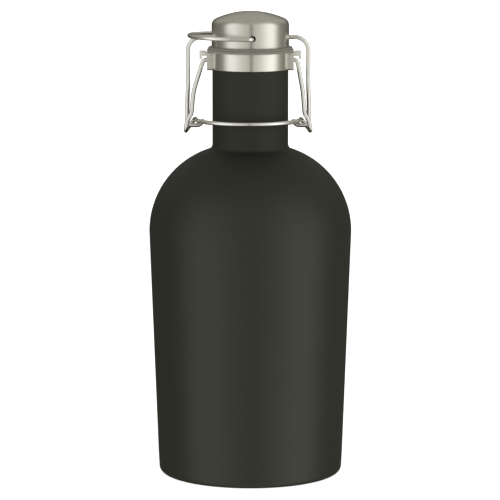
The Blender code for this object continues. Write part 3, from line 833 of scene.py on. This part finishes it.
def lever_path():
    """Pin, arm, long eye round the hook and thumb bar: the left half, then the mirrored right half."""
    pin_y, pin_z = LEVER_PIVOT
    hook_y = HOOK_PIVOT[0]
    halves = []
    for side in (-1, 1):
        root_z = ROOT_Z - (BAR_TILT if side > 0 else 0.0)
        corners = [(ARM_MID[0], EYE_FRONT_Y * 0.6, ARM_MID[1]), (ARM_KNEE[0], EYE_FRONT_Y, ARM_KNEE[1]),
                   (ARM_KICK[0], EYE_FRONT_Y, ARM_KICK[1]), (ARM_LOW_X, EYE_FRONT_Y, EYE_LOW_Z),
                   (EYE_BACK_X, EYE_BACK_Y, EYE_LOW_Z), (ROOT_X + 0.4, EYE_BACK_Y, root_z),
                   (ROOT_X, hook_y, root_z)]
        corners = [(side * x + SLACK_X, y, z) for x, y, z in corners]
        corners = [(side * PIN_TIP_X, pin_y, pin_z), (side * ARM_TOP_X, pin_y, pin_z)] + corners
        half = rounded_path(corners, (3.0, 40.0, 8.0, 8.0, EYE_BEND, EYE_BEND, 2.6))
        steps = 40
        for i in range(1, steps + 1):
            swing = pi / 2 * i / steps
            half.append(Vector((side * ROOT_X * cos(swing) + SLACK_X,
                                hook_y + (BAR_FRONT_Y - hook_y) * sin(swing),
                                root_z + (BAR_Z - root_z) * sin(swing))))
        halves.append(half)
    return halves[0] + halves[1][-2::-1]


bright_wire = wire_finish("bright_wire")
fit("lever_bright", wire_mesh("lever_bright", lever_path()), bright_wire, "lever", "polished_wire",
    "lever_wire")


# --- Bail wire -----------------------------------------------------------------------------
# A second stainless wire, bent cold. It goes through the lid, down both sides and in through the
# lever's eyes, where each tail is turned up to keep it there.

LEG_X = 37.5
HOOK_X = 38.0
HOOK_LOW_Z = 219.3
LEG_TURN_Z = (232.0, 246.0)   # heights between which each leg leans in
SHOULDER_BEND = 8.5
TAIL_X = 28.6
TAIL_TOP_Z = 223.3


def bail_path():
    """Upturned tail, hook, leg and shoulder: the left half, then the mirrored right half."""
    hook_y = HOOK_PIVOT[0]
    top_y, top_z = LID_PIVOT
    halves = []
    for side in (-1, 1):
        corners = [(TAIL_X, hook_y, TAIL_TOP_Z), (TAIL_X, hook_y, HOOK_LOW_Z),
                   (HOOK_X, hook_y, HOOK_LOW_Z), (HOOK_X, hook_y, LEG_TURN_Z[0]),
                   (LEG_X, hook_y * 0.38, LEG_TURN_Z[1]), (LEG_X, top_y, top_z)]
        corners = [(side * cx + SLACK_X, cy, cz) for cx, cy, cz in corners] + [(0.0, top_y, top_z)]
        halves.append(rounded_path(corners, (3.6, 3.0, 30.0, 60.0, SHOULDER_BEND)))
    return halves[0][:-1] + halves[1][-2::-1]


fit("bail_bright", wire_mesh("bail_bright", bail_path()), bright_wire, "bail", "polished_wire",
    "bail_wire")


# --- Carry loop ----------------------------------------------------------------------------
# A third wire, bent to a U. Its ends are sprung into the cap's front and back holes, so it swings
# over the lid and lies down on either side.

LOOP_Y = 26.0
LOOP_END_X = -37.9
LOOP_TIP_Y = 21.4             # how far in the loop's ends reach
LOOP_BEND = 2.6
LOOP_RISE = radians(1.2)


def loop_path():
    """The loop flat on its pivot, then raised a little at its outer end."""
    pivot_x, pivot_z = LOOP_PIVOT
    centre_x = -(pivot_x - LOOP_END_X) + LOOP_Y
    flat = rounded_path([(0, -LOOP_TIP_Y, 0), (0, -LOOP_Y, 0), (centre_x, -LOOP_Y, 0)], (LOOP_BEND,))
    steps = 56
    for i in range(1, steps):
        turn = pi * i / steps
        flat.append(Vector((centre_x - LOOP_Y * sin(turn), -LOOP_Y * cos(turn), 0)))
    flat += rounded_path([(centre_x, LOOP_Y, 0), (0, LOOP_Y, 0), (0, LOOP_TIP_Y, 0)], (LOOP_BEND,))
    return [Vector((pivot_x + p.x * cos(LOOP_RISE), p.y, pivot_z - p.x * sin(LOOP_RISE))) for p in flat]


fit("loop_bright", wire_mesh("loop_bright", loop_path()), bright_wire, "carry_loop", "polished_wire",
    "carry_loop")


# --- Floor ---------------------------------------------------------------------------------
# A plain white studio floor that curves up into a low backdrop all round, far from the object.

FLOOR_R = 6.0
FLOOR_CURVE = 1.5
BACKDROP_TOP_Z = 2.4
FLOOR_STEPS = 96
FLOOR_WHITE = 0.86
FLOOR_GLOW = 0.80
floor_side = [(0.25, 0.0), (1.0, 0.0), (3.0, 0.0)]
floor_side += arc((FLOOR_R, FLOOR_CURVE), FLOOR_CURVE, -90, 0, 12)
floor_side.append((FLOOR_R + FLOOR_CURVE, BACKDROP_TOP_Z))
floor_corners, floor_faces = [], []
for r, z in floor_side:
    floor_corners += [(r * cos(2 * pi * i / FLOOR_STEPS), r * sin(2 * pi * i / FLOOR_STEPS), z)
                      for i in range(FLOOR_STEPS)]
for k in range(len(floor_side) - 1):
    for i in range(FLOOR_STEPS):
        j = (i + 1) % FLOOR_STEPS
        floor_faces.append([k * FLOOR_STEPS + i, k * FLOOR_STEPS + j, (k + 1) * FLOOR_STEPS + j,
                            (k + 1) * FLOOR_STEPS + i])
floor_faces.append(list(range(FLOOR_STEPS))[::-1])
floor_mesh = bpy.data.meshes.new("studio_floor")
floor_mesh.from_pydata(floor_corners, [], floor_faces)
floor_mesh.validate()
floor_mesh.shade_smooth()
floor = bpy.data.objects.new("studio_floor", floor_mesh)
bpy.context.collection.objects.link(floor)
paint, _, paint_shader = new_finish("white_floor", (FLOOR_WHITE, FLOOR_WHITE, FLOOR_WHITE), 0.9, 0.0)
paint_shader.inputs["Emission Color"].default_value = (1.0, 1.0, 1.0, 1.0)
paint_shader.inputs["Emission Strength"].default_value = FLOOR_GLOW
floor_mesh.materials.append(paint)
floor.visible_glossy = False
floor.visible_shadow = False


# --- Studio light --------------------------------------------------------------------------
# Two tall soft panels, left and right of the front, with a narrow gap between them, dark drapes
# behind and a dim warm ceiling that comes down lower there. All of it is far away, so it is even.

GAP_TURN = 3.0                # degrees that the gap lies to the right of the front
# Brightness by degrees round from the gap, and by degrees above the horizon
LIGHT_ROUND = ((0.0, 0.0), (1.5, 0.16), (5.0, 0.63), (12.0, 0.66), (22.0, 0.72), (35.0, 0.88),
               (52.0, 1.14), (66.0, 1.22), (76.0, 1.0), (88.0, 0.46), (98.0, 0.30), (115.0, 0.22),
               (140.0, 0.16), (155.0, 0.07), (180.0, 0.07))
LIGHT_UP = ((-60.0, 0.5), (-30.0, 1.0), (34.0, 1.0), (62.0, 0.0))
CEILING = 0.43
BACK_DROP = 30.0              # degrees lower that the ceiling's light starts behind the object
RIGHT_GAIN = 0.10             # how much brighter the right side is than the middle
DIM_TINT = (1.0, 0.955, 0.82, 1.0)
PANEL_TINT = (1.0, 1.0, 0.985, 1.0)

world = bpy.data.worlds.new("studio")
bpy.context.scene.world = world
world.use_nodes = True
sky = world.node_tree
direction = add_node(sky, "ShaderNodeTexCoord").outputs["Generated"]
parts = add_node(sky, "ShaderNodeSeparateXYZ", Vector=direction)
turn = sums(sky, "ARCTAN2", parts.outputs["X"], sums(sky, "MULTIPLY", parts.outputs["Y"], -1.0))
turn = sums(sky, "WRAP", sums(sky, "SUBTRACT", turn, radians(GAP_TURN)), pi, -pi)
turn = sums(sky, "DIVIDE", sums(sky, "ABSOLUTE", turn), pi)


def ramp(tree, amount, stops, full):
    """Brightness between stops of (place, brightness), read at a 0 to 1 amount of full."""
    node = add_node(tree, "ShaderNodeFloatCurve", Value=amount)
    points = node.mapping.curves[0].points
    for place, value in stops[1:-1]:
        points.new(place / full, value * 0.5)
    points[0].location = (0.0, stops[0][1] * 0.5)
    points[-1].location = (1.0, stops[-1][1] * 0.5)
    for point in points:
        point.handle_type = "VECTOR"
    node.mapping.update()
    return sums(tree, "MULTIPLY", node.outputs[0], 2.0)


around = ramp(sky, turn, LIGHT_ROUND, 180.0)
climb = sums(sky, "DIVIDE", sums(sky, "ARCSINE", parts.outputs["Z"]), pi / 2)
climb = sums(sky, "MULTIPLY_ADD", climb, 0.5, 0.5)
behind = add_node(sky, "ShaderNodeMapRange", i0=turn, i1=0.5, i2=0.7, i3=0.0, i4=BACK_DROP / 180.0)
climb = sums(sky, "ADD", climb, behind.outputs[0])
stops = [(0.0, 0.3)] + [(a + 90.0, v) for a, v in LIGHT_UP] + [(180.0, 0.0)]
upward = ramp(sky, climb, stops, 180.0)
glow = add_node(sky, "ShaderNodeMix", [("data_type", "FLOAT")], i0=upward, i2=CEILING, i3=around)
background = sky.nodes["Background"]
to_right = sums(sky, "MULTIPLY_ADD", parts.outputs["X"], RIGHT_GAIN, 1.0)
sky.links.new(sums(sky, "MULTIPLY", glow.outputs[0], to_right), background.inputs["Strength"])
hue = add_node(sky, "ShaderNodeMix", [("data_type", "RGBA")], i0=glow.outputs[0], i6=DIM_TINT,
               i7=PANEL_TINT)
sky.links.new(hue.outputs[2], background.inputs["Color"])


# --- Camera --------------------------------------------------------------------------------
# A long lens a little above the closure, looking slightly down on the bottle.

CAMERA_LENS = 219.96
CAMERA_PLACE = (-0.0002, -1.9, 0.415)
CAMERA_DOWN = 8.208           # degrees that the camera looks down
camera_data = bpy.data.cameras.new("camera")
camera_data.lens = CAMERA_LENS
camera_data.sensor_width = 36.0
camera_data.clip_start = 0.05
camera_data.clip_end = 50.0
camera = bpy.data.objects.new("camera", camera_data)
bpy.context.collection.objects.link(camera)
camera.location = CAMERA_PLACE
camera.rotation_euler = (radians(90.0 - CAMERA_DOWN), 0.0, 0.0)
bpy.context.scene.camera = camera
bpy.context.scene.view_settings.view_transform = "Standard"
